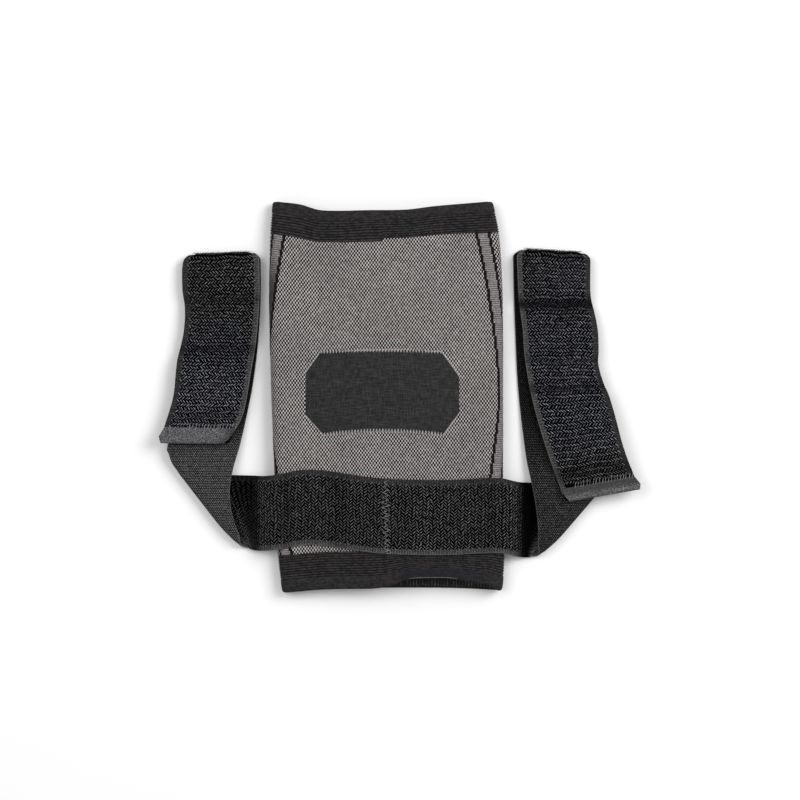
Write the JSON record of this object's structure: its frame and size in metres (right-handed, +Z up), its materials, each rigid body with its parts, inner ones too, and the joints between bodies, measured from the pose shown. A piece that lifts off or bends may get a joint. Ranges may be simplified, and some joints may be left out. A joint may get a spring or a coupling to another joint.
{
  "type": "knee compression sleeve",
  "caption": "Knitted tubular knee sleeve lying flat, with a ribbed cuff at each mouth, a dark kneecap panel and an elastic wrap strap sewn across the front.",
  "frame": {"origin": "on the table under the middle of the sleeve, on the underside of the back panel", "axes": "+X to the right across the sleeve as seen from above, +Y along it toward the top cuff, +Z up off the table"},
  "size_m": [0.3276, 0.2657, 0.0213],
  "materials": {
    "mesh_knit": "light grey yarn with staggered dark eyelet stitches",
    "panel_knit": "charcoal fine plain knit",
    "stripe_knit": "grey yarn knitted in close cross ribs",
    "edge_knit": "black knitted line with stepped sides",
    "cuff_knit": "brown-black ribbed welt with a smooth hem",
    "strap_elastic": "black elastic, loop pile on one face and smooth weave on the other",
    "tab_fabric": "grey felted tape"
  },
  "bodies": {
    "root": {"front_panel": "mesh_knit", "knee_panel": "panel_knit", "back_panel": "mesh_knit", "side_stripe_left": "stripe_knit", "side_stripe_right": "stripe_knit", "stripe_edge_left_front": "edge_knit", "stripe_edge_left_back": "edge_knit", "stripe_edge_right_front": "edge_knit", "stripe_edge_right_back": "edge_knit", "top_cuff": "cuff_knit", "bottom_cuff": "cuff_knit", "strap": "strap_elastic", "strap_tab_left": "tab_fabric", "strap_tab_right": "tab_fabric"}
  },
  "joints": []
}
